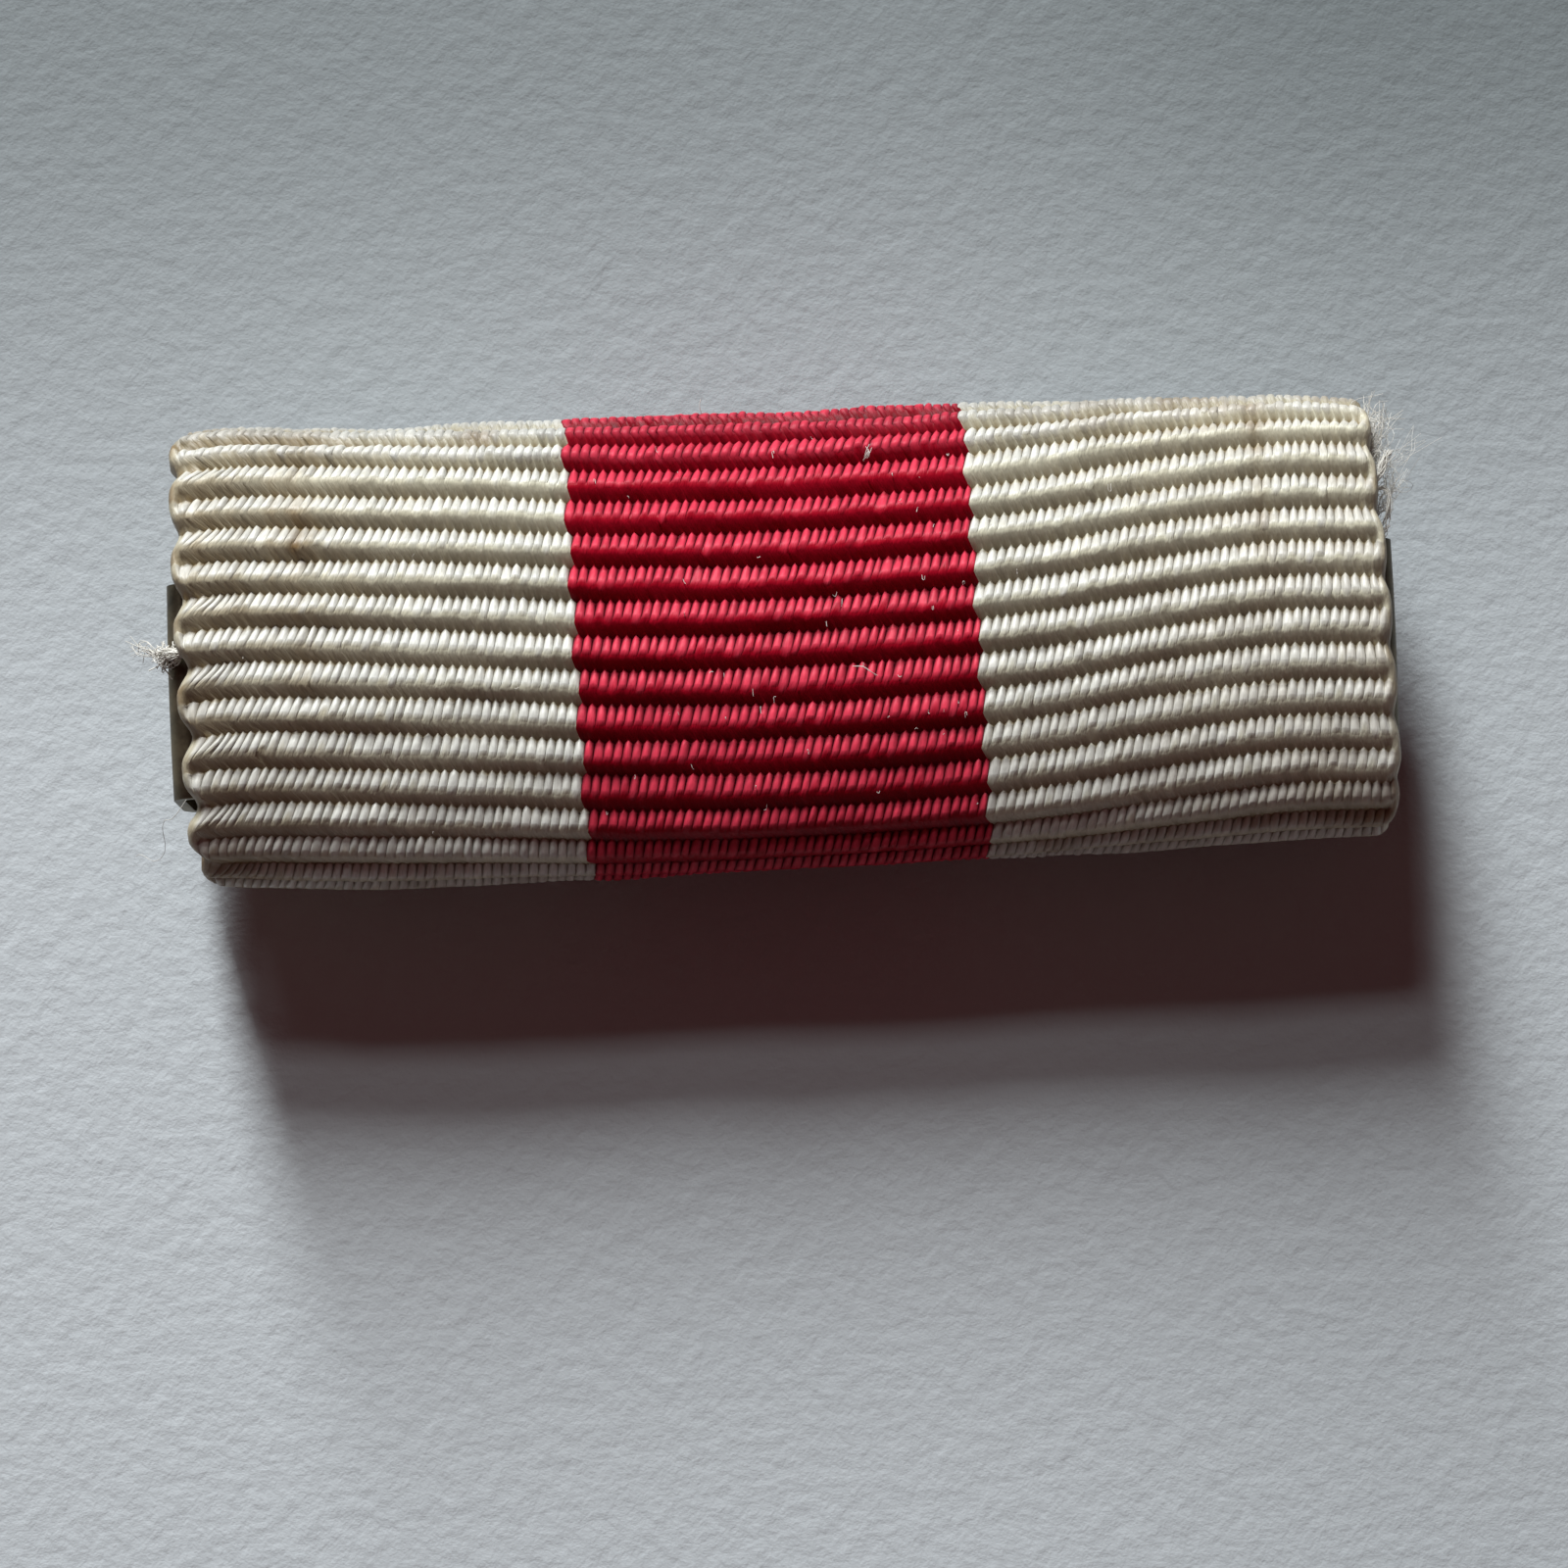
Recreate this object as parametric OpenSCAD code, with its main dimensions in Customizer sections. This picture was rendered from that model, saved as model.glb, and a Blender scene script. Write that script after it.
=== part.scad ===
// Ribbon bar: a corded ribbon wrapped over a folded steel plate, with a brooch pin behind.
// It lies face up. X runs along the bar, Y across it, and Z is up, away from the wearer.

/* [Ribbon] */
// Width of the ribbon from selvage to selvage, along the bar
ribbon_w = 32; // [24:0.5:40]
// Height of the bar across the ribs, where the ribbon lies tight on the plate
bar_h = 11.7; // [10:0.1:16]
// Thickness of the ribbon over the crest of a rib
ribbon_t = 1.0; // [0.8:0.05:1.2]
// Distance from one rib to the next
rib_pitch = 0.94; // [0.7:0.01:1.4]
// Depth of the furrow between two ribs
rib_depth = 0.36; // [0.1:0.02:0.4]
// Rise of the ribs' bow, where it is highest
rib_bow = 1; // [0:0.02:1.2]
// How far the lowest furrow of the bow lies below the middle of the bar
bow_drop = 0.2; // [0:0.02:0.4]
// How far the ribbon stands off the plate's long edges, where it is fullest
edge_swell = 0.5; // [0:0.05:0.6]
// Angle at which the ribbon is wrapped out of square
skew = 1.4; // [0:0.1:2]
// Depth of the scallops that the weft makes in the selvage
scallop = 0.35; // [0:0.05:0.45]
// Space between the two cut ends on the back
cut_gap = 2.4; // [1.5:0.1:3]

/* [Face] */
// Radius of the face across the bar, over the ribs
face_r = 14; // [12:0.5:24]
// Radius where the face turns down to the long edge, over the ribs
shoulder_r = 2.2; // [2:0.1:2.8]
// Radius where the long edge turns under to the back, over the ribs
fold_r = 1.5; // [1.45:0.05:1.9]

/* [Plate] */
// Thickness of the sheet steel
plate_t = 0.3; // [0.2:0.05:0.35]
// How far the ribbon's selvage lies past the end of the plate's face
plate_inset = 0.4; // [0.2:0.1:1]
// Width of the slot between the plate's two lips on the back
lip_gap = 3.6; // [2:0.2:5]
// Size of an ear across the bar
ear_h = 5.7; // [4:0.1:6]
// How far the ears' middle lies below the bar's middle
ear_drop = 0.9; // [0:0.1:0.9]
// How far an ear stands out past the ribbon
ear_reach = 0.3; // [0.25:0.05:0.8]
// Inside radius of an ear's bends
ear_bend = 0.3; // [0.2:0.05:0.4]
// Length of the tab that an ear folds over behind
ear_tab = 4; // [3:0.2:5]

/* [Brooch pin] */
// Length of the base strip
base_l = 30; // [27:0.5:31]
// Width of the base strip
base_w = 5; // [4:0.2:6]
// Thickness of the base strip
base_t = 0.4; // [0.3:0.05:0.6]
// Distance between the middles of the hinge and the catch
pin_span = 20; // [16:0.5:20]
// Diameter of the pin wire
wire_d = 0.7; // [0.5:0.05:0.8]
// Depth of the hinge and the catch, from the base strip to the resting surface
foot_h = 1.9; // [1.7:0.1:2.4]
// Width of the hinge across the bar
hinge_w = 4.2; // [3:0.2:5]
// Length of the hinge along the bar, where it joins the base strip
hinge_l = 2.4; // [2:0.2:3]
// Length of the hinge's feet along the bar
foot_l = 1.6; // [1:0.1:2]
// Diameter of the hinge's barrel
barrel_d = 1.3; // [1:0.1:1.5]
// Length of the catch along the bar
catch_l = 2; // [1.5:0.1:3]
// Thickness of the hinge's cheeks and of the catch
cheek_t = 0.4; // [0.3:0.05:0.5]
// Length of the pin's point past the catch
point_l = 1.6; // [1:0.1:2]

/* [Fits] */
// Space between two pieces that lie on each other
clearance = 0.1; // [0.08:0.01:0.15]
// How far two parts of the plate's sheet run into each other, where they are drawn apart
lap = 0.1; // [0.05:0.01:0.15]

/* [Hidden] */

// Levels, from the resting surface up
base_z = foot_h;
back_z = base_z + base_t + clearance;
turn_z = back_z + fold_r;
tab_z = base_z - clearance;
wire_z = wire_d / 2 + clearance + cheek_t;

// From the rib crests in to the plate, and the ends of the plate's face and ears
to_plate = ribbon_t + clearance;
plate_end = ribbon_w / 2 - plate_inset;
ear_x = ribbon_w / 2 + ear_reach;

// Ribs and steps
points_per_rib = 6;
ribs_a_side = floor(half_length(bar_h / 2 + edge_swell) / rib_pitch);
half_cut = ribs_a_side * rib_pitch;
ribs = 2 * ribs_a_side;
back_half_w = ear_x - plate_t - clearance - half_cut * tan(skew);

// Sections of the ribbon along the bar, from its left selvage to its right one.
// along: place, as a share of half the width
// bow: rise of the ribs, as a share of rib_bow
// top, bottom: fullness at each long edge, as a share of edge_swell
// relief: depth of the furrows, as a share of rib_depth
SECTIONS = [
    // along, bow, top, bottom, relief
    [-1.00, 0.53, 0.72, 0.30, 0.10],
    [-0.97, 0.57, 0.94, 0.36, 0.80],
    [-0.90, 0.65, 1.00, 0.58, 1.00],
    [-0.80, 0.71, 0.88, 0.90, 1.00],
    [-0.65, 0.61, 0.74, 0.96, 1.00],
    [-0.48, 0.38, 0.76, 0.80, 1.00],
    [-0.29, 0.12, 0.84, 0.84, 1.00],
    [-0.10, 0.01, 0.84, 0.78, 1.00],
    [0.10, 0.02, 0.84, 0.70, 1.00],
    [0.30, 0.10, 0.86, 0.54, 1.00],
    [0.46, 0.33, 0.80, 0.44, 1.00],
    [0.58, 0.60, 0.80, 0.40, 1.00],
    [0.70, 0.84, 0.76, 0.40, 1.00],
    [0.80, 0.98, 0.74, 0.28, 1.00],
    [0.88, 0.99, 0.62, 0.18, 1.00],
    [0.97, 0.94, 0.42, 0.06, 0.80],
    [1.00, 0.92, 0.34, 0.04, 0.10]
];

// The bar's outline across, over the rib crests: face, shoulder, fold and back, each tangent
// to the next. half is the outline's half height.
function face_turn(half) = asin((half - shoulder_r) / (face_r - shoulder_r));
function face_centre(half) = turn_z - (face_r - shoulder_r) * cos(face_turn(half));
function arc_length(r, turn) = r * turn * PI / 180;
function face_length(half) = arc_length(face_r, face_turn(half));
function shoulder_length(half) = arc_length(shoulder_r, 90 - face_turn(half));
function half_length(half) =
    face_length(half) + shoulder_length(half) + arc_length(fold_r, 90) + half - fold_r - cut_gap / 2;

// Place and outward direction at a length s from the middle of the face, as [y, z, turn]
function outline(s, half) =
    let (
        side = s < 0 ? -1 : 1,
        d = abs(s),
        past_face = d - face_length(half),
        past_shoulder = past_face - shoulder_length(half),
        past_fold = past_shoulder - arc_length(fold_r, 90),
        turn = past_face < 0 ? d / face_r * 180 / PI
            : past_shoulder < 0 ? face_turn(half) + past_face / shoulder_r * 180 / PI
            : min(180, 90 + past_shoulder / fold_r * 180 / PI)
    )
    past_face < 0 ? [side * face_r * sin(turn), face_centre(half) + face_r * cos(turn), side * turn]
    : past_shoulder < 0
        ? [side * (half - shoulder_r * (1 - sin(turn))), turn_z + shoulder_r * cos(turn), side * turn]
    : [
        side * (half - fold_r * (1 - sin(turn)) - max(0, past_fold)),
        turn_z + fold_r * cos(turn),
        side * turn
    ];

// A rib is half an ellipse across: 0 on its crest and 1 in the furrow
function furrow(share) = 1 - sqrt(1 - pow(2 * share - 1, 2));

// The selvage swings in and out once in two ribs, as the weft turns round
function swing(s, side) = scallop * (1 + side * cos(180 * s / rib_pitch)) / 2;

// How far the ribbon has turned under, from 0 on the face to 1 on the back
function turned_under(s) = min(1, max(0, (abs(s) - bar_h / 2) / (fold_r + shoulder_r)));

function half_width(s) = ribbon_w / 2 + (back_half_w - ribbon_w / 2) * turned_under(s);

// A point of section k at length s, depth below the rib crests
function ribbon_point(k, s, depth) =
    let (
        row = SECTIONS[k],
        end = abs(row[0]) == 1,
        half = bar_h / 2 + edge_swell * (row[2] + row[3]) / 2,
        shift = edge_swell * (row[2] - row[3]) / 2,
        at = outline(s + rib_bow * row[1] - bow_drop, half),
        edge = end ? swing(s, row[0]) * row[0] : 0
    )
    [
        row[0] * half_width(s) - edge - s * tan(skew),
        at[0] + shift - depth * sin(at[2]),
        at[1] - depth * cos(at[2])
    ];

module ribbon() {
    sections = len(SECTIONS);
    top_points = ribs * points_per_rib + 1;
    step = rib_pitch / points_per_rib;
    half_rib = points_per_rib / 2;
    crests = [
        for (k = [0:sections - 1]) for (i = [0:top_points - 1])
            ribbon_point(
                k,
                i * step - half_cut,
                rib_depth * SECTIONS[k][4] * furrow((i % points_per_rib) / points_per_rib)
            )
    ];
    inside = [
        for (k = [0:sections - 1]) for (r = [0:ribs])
            ribbon_point(k, r * rib_pitch - half_cut, ribbon_t)
    ];
    function top(k, i) = k * top_points + i;
    function under(k, r) = sections * top_points + k * (ribs + 1) + r;
    function flip(face, turned) = turned ? [face[2], face[1], face[0]] : face;
    face_side = [
        for (k = [0:sections - 2]) for (i = [0:top_points - 2])
            each [
                [top(k, i), top(k, i + 1), top(k + 1, i)],
                [top(k + 1, i), top(k, i + 1), top(k + 1, i + 1)]
            ]
    ];
    plate_side = [
        for (k = [0:sections - 2]) for (r = [0:ribs - 1])
            each [
                [under(k, r), under(k + 1, r), under(k, r + 1)],
                [under(k + 1, r), under(k + 1, r + 1), under(k, r + 1)]
            ]
    ];
    selvages = [
        for (k = [0, sections - 1]) for (r = [0:ribs - 1])
            let (first = r * points_per_rib, middle = first + half_rib)
            each [
                flip([under(k, r), under(k, r + 1), top(k, middle)], k > 0),
                for (i = [first:first + points_per_rib - 1])
                    flip([under(k, i < middle ? r : r + 1), top(k, i + 1), top(k, i)], k > 0)
            ]
    ];
    cut_ends = [
        for (k = [0:sections - 2])
            each [
                [under(k, 0), top(k, 0), top(k + 1, 0)],
                [under(k, 0), top(k + 1, 0), under(k + 1, 0)],
                [under(k, ribs), top(k + 1, top_points - 1), top(k, top_points - 1)],
                [under(k, ribs), under(k + 1, ribs), top(k + 1, top_points - 1)]
            ]
    ];
    color("ivory") polyhedron(concat(crests, inside), concat(face_side, plate_side, selvages, cut_ends));
}

module along_bar(length) {
    rotate([90, 0, 90]) linear_extrude(length, center = true) children();
}

// A slice of a circle between two directions, which are measured from +Y of the sketch
module slice(r, from, to) {
    far = 2 * r;
    intersection() {
        circle(r, $fn = 96);
        polygon([[0, 0], far * [sin(from), cos(from)], far * [sin(to), cos(to)]]);
    }
}

// The plate's outline across, filled, and grown outwards by grow. Each shoulder is a quarter circle,
// whose inner part lies within the slice under the face.
module plate_outline(grow) {
    turn = face_turn(bar_h / 2);
    fold_y = bar_h / 2 - fold_r;
    fold = fold_r - to_plate + grow;
    intersection() {
        translate([0, face_centre(bar_h / 2)]) slice(face_r - to_plate + grow, -turn, turn);
        translate([-bar_h / 2, turn_z]) square([bar_h, bar_h]);
    }
    for (side = [-1, 1]) {
        translate([side * (bar_h / 2 - shoulder_r), turn_z])
            slice(shoulder_r - to_plate + grow, 0, side * 90);
        translate([side * fold_y, turn_z]) slice(fold, side * 90, side * 180);
    }
    translate([-fold_y, turn_z - fold]) square([2 * fold_y, fold]);
}

// A quarter of the ear's bend, from its outside radius in to ear_bend
module quarter_bend(side) {
    bend = ear_bend + plate_t;
    difference() {
        intersection() {
            circle(bend, $fn = 48);
            translate([0, side < 0 ? -bend : 0]) square(bend);
        }
        circle(ear_bend, $fn = 48);
    }
}

// The ear runs on from the plate's face, bends down past the ribbon and folds over behind it.
// Its upper bend is turned about the axis of the face, so that it keeps the face's crown.
module ear() {
    bend = ear_bend + plate_t;
    face = face_r - to_plate;
    corner = ear_x - bend;
    low_edge = -ear_drop - ear_h / 2;
    intersection() {
        translate([0, 0, face_centre(bar_h / 2)]) rotate([0, -90, 180]) rotate_extrude($fn = 96) {
            translate([face - plate_t, plate_end - lap]) square([plate_t, corner - plate_end + lap]);
            translate([face - bend, corner]) quarter_bend(1);
            translate([face - bend - fold_r, ear_x - plate_t]) square([fold_r, plate_t]);
        }
        translate([0, low_edge, turn_z]) cube([2 * ear_x, ear_h, bar_h]);
    }
    translate([0, low_edge + ear_h, 0]) rotate([90, 0, 0]) linear_extrude(ear_h) {
        translate([ear_x - plate_t, tab_z + ear_bend]) square([plate_t, turn_z + lap - tab_z - ear_bend]);
        translate([corner - ear_tab, tab_z - plate_t]) square([ear_tab, plate_t]);
        translate([corner, tab_z + ear_bend]) quarter_bend(-1);
    }
}

module backing_plate() {
    color("dimgray") {
        along_bar(2 * plate_end) difference() {
            plate_outline(0);
            plate_outline(-plate_t);
            translate([-lip_gap / 2, turn_z - fold_r]) square([lip_gap, fold_r]);
        }
        ear();
        mirror([1, 0, 0]) ear();
    }
}

// Two cheeks that taper to their feet, with a barrel between them
module hinge() {
    for (side = [-1, 1])
        translate([0, side * (hinge_w - cheek_t) / 2, 0]) rotate([90, 0, 0])
            linear_extrude(cheek_t, center = true)
                polygon([[-hinge_l / 2, base_z], [hinge_l / 2, base_z], [foot_l / 2, 0], [-foot_l / 2, 0]]);
    translate([0, 0, wire_z]) rotate([90, 0, 0]) cylinder(hinge_w, d = barrel_d, center = true, $fn = 48);
}

// A strip that hooks round under the wire, open on one side
module catch() {
    hook_r = wire_d / 2 + clearance + cheek_t;
    rotate([90, 0, 90]) linear_extrude(catch_l, center = true) {
        translate([0, wire_z]) difference() {
            circle(hook_r, $fn = 48);
            circle(hook_r - cheek_t, $fn = 48);
            square(2 * hook_r);
        }
        translate([-hook_r, wire_z]) square([cheek_t, base_z - wire_z]);
    }
}

module brooch_pin() {
    color("gray") {
        translate([-base_l / 2, -base_w / 2, base_z]) cube([base_l, base_w, base_t]);
        translate([-pin_span / 2, 0, 0]) hinge();
        translate([pin_span / 2, 0, 0]) catch();
        translate([-pin_span / 2, 0, wire_z]) rotate([0, 90, 0]) {
            cylinder(pin_span + catch_l / 2, d = wire_d, $fn = 32);
            translate([0, 0, pin_span + catch_l / 2]) cylinder(point_l, wire_d / 2, wire_d / 8, $fn = 32);
        }
    }
}

ribbon();
backing_plate();
brooch_pin();
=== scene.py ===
# %% [markdown]
# # A ribbon bar, from its solids down to its threads
#
# A ribbon bar is worn on the coat in place of a medal. A short length of the medal's corded
# ribbon is wrapped over a narrow steel plate, the plate's two ears are folded down at its ends,
# and a brooch pin behind holds it all on the cloth.
#
# The construction is there already, as three solids in one fixed frame: X runs along the bar,
# Y across it and Z up, out of its face, and everything is in metres. This script dresses them:
# it weaves the ribbon thread by thread, breaks the edges of the sheet steel, and gives each
# surface the finish of the real one.

# %% Load the frame
import math

import bpy
import numpy as np
from mathutils import Matrix, Vector


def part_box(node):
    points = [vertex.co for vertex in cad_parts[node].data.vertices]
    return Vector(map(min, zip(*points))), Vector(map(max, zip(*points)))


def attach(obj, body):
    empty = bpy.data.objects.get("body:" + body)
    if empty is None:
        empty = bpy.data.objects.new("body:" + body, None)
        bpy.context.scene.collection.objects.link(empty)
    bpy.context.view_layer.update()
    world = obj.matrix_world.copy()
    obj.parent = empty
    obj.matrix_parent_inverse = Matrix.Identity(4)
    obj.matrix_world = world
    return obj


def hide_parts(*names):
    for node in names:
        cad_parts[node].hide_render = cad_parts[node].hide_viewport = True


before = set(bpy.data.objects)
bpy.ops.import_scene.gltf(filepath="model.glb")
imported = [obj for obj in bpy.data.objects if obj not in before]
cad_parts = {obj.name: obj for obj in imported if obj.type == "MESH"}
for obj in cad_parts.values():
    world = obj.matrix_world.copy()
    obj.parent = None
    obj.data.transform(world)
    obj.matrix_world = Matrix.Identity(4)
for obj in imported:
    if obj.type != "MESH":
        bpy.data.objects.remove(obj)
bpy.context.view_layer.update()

MM = 0.001
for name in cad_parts:
    low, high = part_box(name)
    print(name, "spans", [round((b - a) / MM, 2) for a, b in zip(low, high)], "mm")

# %% [markdown]
# ## Small tools
#
# Colours are easiest to read as the hex values that a colour picker shows, but a shader counts in
# linear light, so one function turns the one into the other. The next adds a node, sets its
# properties, and then sets or links each of its sockets, which keeps a material readable as a list
# of steps. The last two put an object into the scene, and select it alone, because an operator
# acts on all that is selected.

# %% Helpers for colours, nodes and objects
def linear(hex_colour):
    """Turns an sRGB hex colour into the linear RGBA that a shader wants."""
    channels = [int(hex_colour[i:i + 2], 16) / 255 for i in (1, 3, 5)]
    return [c / 12.92 if c <= 0.04045 else ((c + 0.055) / 1.055) ** 2.4 for c in channels] + [1.0]


def add_node(tree, kind, sockets=None, **settings):
    """Adds a shader node. A socket's value may be a number, a colour, a node or a node's output."""
    node = tree.nodes.new("ShaderNode" + kind)
    for setting, value in settings.items():
        setattr(node, setting, value)
    for socket, value in (sockets or {}).items():
        if isinstance(value, bpy.types.Node):
            value = value.outputs[0]
        if isinstance(value, bpy.types.NodeSocket):
            tree.links.new(value, node.inputs[socket])
        else:
            node.inputs[socket].default_value = value
    return node


def new_material(name):
    """Makes a material with an empty node tree."""
    material = bpy.data.materials.new(name)
    material.use_nodes = True
    material.node_tree.nodes.clear()
    return material, material.node_tree


def add_object(name, data):
    """Puts a new object with this mesh, curve, lamp or camera into the scene."""
    added = bpy.data.objects.new(name, data)
    bpy.context.collection.objects.link(added)
    return added


def select_only(piece):
    """Selects one object and nothing else."""
    bpy.ops.object.select_all(action="DESELECT")
    bpy.context.view_layer.objects.active = piece
    piece.select_set(True)


# The sockets of a Mix node that mixes colours
FIRST, SECOND, MIXED = 6, 7, 2
print("ivory in linear light:", [round(c, 3) for c in linear("#E6DCC6")])

# %% [markdown]
# ## Camera
#
# The photograph was taken with a phone held almost straight above the bar, which lies turned a
# little on the paper. A camera is a place, a direction and a lens. Here they follow from
# what the picture shows: the distance at which the ends of the bar spread as they do, the tilt at
# which its lower long edge shows more than its upper one, and the number of pixels that
# one millimetre of the face covers.

# %% Set up the camera
IMAGE_SIDE = 1600
PIXELS_PER_MM = 38.9
FACE_CENTRE_PIXEL = (797, 638.4)
CAMERA_DISTANCE = 150 * MM
AXIS_ELEVATION = math.radians(83.6)
ROLL = math.radians(2.2)

looking = Vector((0, math.cos(AXIS_ELEVATION), -math.sin(AXIS_ELEVATION)))
level_up = Vector((0, math.sin(AXIS_ELEVATION), math.cos(AXIS_ELEVATION)))
level_right = Vector((1, 0, 0))
right = level_right * math.cos(ROLL) - level_up * math.sin(ROLL)
up = level_right * math.sin(ROLL) + level_up * math.cos(ROLL)

pixel = MM / PIXELS_PER_MM
face_centre = Vector((0, 0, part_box("ribbon")[1].z))
offset_right = (FACE_CENTRE_PIXEL[0] - IMAGE_SIDE / 2) * pixel
offset_up = (IMAGE_SIDE / 2 - FACE_CENTRE_PIXEL[1]) * pixel
camera_place = face_centre - looking * CAMERA_DISTANCE - right * offset_right - up * offset_up

camera_data = bpy.data.cameras.new("phone_camera")
camera_data.sensor_width = 36
camera_data.lens = camera_data.sensor_width * CAMERA_DISTANCE / (IMAGE_SIDE * pixel)
camera_data.clip_start = 5 * MM
camera = add_object("phone_camera", camera_data)
turned = Matrix((right, up, -looking)).transposed().to_4x4()
camera.matrix_world = Matrix.Translation(camera_place) @ turned
bpy.context.scene.camera = camera
print("lens", round(camera_data.lens, 1), "mm, at", [round(c / MM, 1) for c in camera_place], "mm")

# %% [markdown]
# ## Light
#
# One tall, narrow window lights the bar, low and from beyond its upper long edge. It rakes
# across the ribs, so each shows a bright upper flank and a dark lower one. Because the window is
# narrow, the shadow's sides are crisp, and because it is tall, the shadow's end fades over a
# centimetre. A bar across the window splits it in two panes, which shows as a step in that fade.
# Two area lamps of the panes' apparent size do this. The dim room is a weak reddish brown world.

# %% Hang the window and dim the room
WINDOW_AZIMUTH = math.radians(-12)
WINDOW_DISTANCE = 600 * MM
WINDOW_WIDTH = 100 * MM
PANES = {
    # name: (lower edge and upper edge in degrees above the paper, power in watts)
    "main_pane": (15, 41, 6.6),
    "small_pane": (46, 51, 0.5),
}

for name, (lower_edge, upper_edge, watts) in PANES.items():
    elevation = math.radians((lower_edge + upper_edge) / 2)
    to_pane = Vector((
        math.sin(WINDOW_AZIMUTH) * math.cos(elevation),
        math.cos(WINDOW_AZIMUTH) * math.cos(elevation),
        math.sin(elevation),
    ))
    pane_data = bpy.data.lights.new(name, "AREA")
    pane_data.shape = "RECTANGLE"
    pane_data.size = WINDOW_WIDTH
    pane_data.size_y = 2 * WINDOW_DISTANCE * math.tan(math.radians((upper_edge - lower_edge) / 2))
    pane_data.energy = watts
    pane_data.color = linear("#F8FCFF")[:3]
    pane = add_object(name, pane_data)
    pane.location = to_pane * WINDOW_DISTANCE
    pane.rotation_mode = "QUATERNION"
    pane.rotation_quaternion = to_pane.to_track_quat("Z", "Y")
    print(name, round(pane_data.size_y / MM), "mm tall,", watts, "W")

room = bpy.data.worlds.new("dim_room")
room.use_nodes = True
room.node_tree.nodes["Background"].inputs["Color"].default_value = linear("#8A5C5C")
room.node_tree.nodes["Background"].inputs["Strength"].default_value = 0.27
bpy.context.scene.world = room
bpy.context.scene.view_settings.view_transform = "Standard"

# %% [markdown]
# ## Paper
#
# The bar lies on a sheet of pale paper. It isn't part of the object, so it is a plain stage: one
# large flat sheet with the soft felt grain of drawing paper, a little greyer towards the window
# and to the right, as the light falls off there in the picture.

# %% Lay the paper
PAPER_SIDE = 900 * MM
PAPER_GRAIN = 0.6 * MM
PAPER_RELIEF = 0.065 * MM
DIMMER_ASIDE = 0.22

bpy.ops.object.select_all(action="DESELECT")
bpy.ops.mesh.primitive_plane_add(size=PAPER_SIDE, location=(0, 0, 0))
paper = bpy.context.object
paper.name = "paper"

# Uncoated drawing paper, pressed between felts: matt, with low soft lumps
material, tree = new_material("uncoated_drawing_paper")
place = add_node(tree, "TexCoord").outputs["Object"]
parts = add_node(tree, "SeparateXYZ", {"Vector": place})
away = add_node(tree, "MapRange", {
    "Value": parts.outputs["Y"], "From Min": -4 * MM, "From Max": 20 * MM,
}, interpolation_type="SMOOTHSTEP")
aside = add_node(tree, "MapRange", {
    "Value": parts.outputs["X"], "From Min": 2 * MM, "From Max": 18 * MM, "To Max": DIMMER_ASIDE,
}, interpolation_type="SMOOTHSTEP")
dimmed = add_node(tree, "Math", {0: away, 1: aside}, operation="ADD")
share_dimmed = add_node(tree, "Math", {0: dimmed, 1: 1 / (1 + DIMMER_ASIDE)}, operation="MULTIPLY")
colour = add_node(tree, "Mix", {
    0: share_dimmed, FIRST: linear("#BDC3C5"), SECOND: linear("#6D7576"),
}, data_type="RGBA")
lumps = add_node(tree, "TexNoise", {
    "Vector": place, "Scale": 1 / PAPER_GRAIN, "Detail": 4.0, "Roughness": 0.62,
})
relief = add_node(tree, "Bump", {"Height": lumps, "Distance": PAPER_RELIEF, "Strength": 1.0})
surface = add_node(tree, "BsdfPrincipled", {
    "Base Color": colour.outputs[MIXED], "Roughness": 0.85, "Normal": relief,
})
add_node(tree, "OutputMaterial", {"Surface": surface})
paper.data.materials.append(material)
print("paper", round(PAPER_SIDE / MM), "mm square")

# %% [markdown]
# ## The ribbon's way over the plate
#
# Everything on the ribbon is placed by two lengths, in millimetres: how far along the bar, and how
# far across it measured on the cloth itself, from the middle of the face over the long edge
# and under to the cut end. The functions below bend that flat cloth over the plate: face,
# shoulder, fold and back, each an arc or a straight tangent to the next. They have the same sizes
# as the solids, so the woven ribbon lies exactly where its plain solid does.

# %% Sizes of the wrapped ribbon, in millimetres
RIBBON_W = 32.0
RIBBON_T = 1.0
BAR_H = 11.7
RIBS_A_SIDE = 14
RIB_PITCH = 0.94
RIB_DEPTH = 0.36
# How far a rib rises along the bar, how much lower they all sit, and how far the long edges swell
RIB_BOW = 1.0
BOW_DROP = 0.2
EDGE_SWELL = 0.5
# How far the ribbon is wrapped askew, and how far its selvage draws in between two ribs
SKEW = math.tan(math.radians(1.4))
SCALLOP = 0.35
# Radii on the way round, and the height at which the shoulder ends and the fold begins
FACE_R = 14.0
SHOULDER_R = 2.2
FOLD_R = 1.5
TURN_Z = 3.9
RIBS = 2 * RIBS_A_SIDE
HALF_CUT = RIBS_A_SIDE * RIB_PITCH
BACK_REACH = 15.9
BACK_HALF_W = BACK_REACH - HALF_CUT * SKEW
print("cloth from selvage to selvage", RIBBON_W, "mm, from cut end to cut end", round(2 * HALF_CUT, 2), "mm")
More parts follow.
